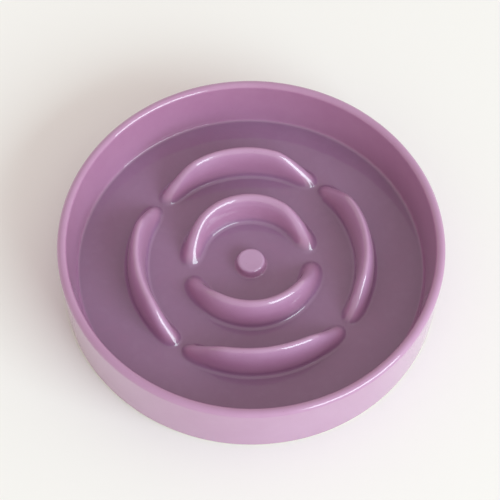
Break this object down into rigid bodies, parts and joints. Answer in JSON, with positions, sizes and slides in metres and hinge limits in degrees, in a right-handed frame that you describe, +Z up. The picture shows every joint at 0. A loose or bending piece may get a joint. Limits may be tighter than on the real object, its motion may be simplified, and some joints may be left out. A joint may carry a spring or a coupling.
{
  "type": "slow feeder bowl",
  "caption": "Low round glazed bowl whose floor carries rings of rounded ridges and a centre peg, so that a dog or cat eats slowly.",
  "frame": {"origin": "the middle of the foot ring's ground face, on the surface that the bowl stands on", "axes": "+Z up through the centre peg; the inner ridges lie at +Y (back) and -Y (front), and the outer ridges at +X, +Y, -X and -Y"},
  "size_m": [0.21, 0.21, 0.0392],
  "materials": {
    "glaze": "gloss",
    "ridge_glaze": "gloss",
    "foot_glaze": "gloss outside, wiped bare on the ground face"
  },
  "bodies": {
    "root": {"floor_disc": "glaze", "side_wall": "glaze", "foot_ring": "foot_glaze", "outer_ridge_right": "ridge_glaze", "outer_ridge_back": "ridge_glaze", "outer_ridge_left": "ridge_glaze", "outer_ridge_front": "ridge_glaze", "inner_ridge_back": "ridge_glaze", "inner_ridge_front": "ridge_glaze", "centre_peg": "ridge_glaze"}
  },
  "joints": []
}
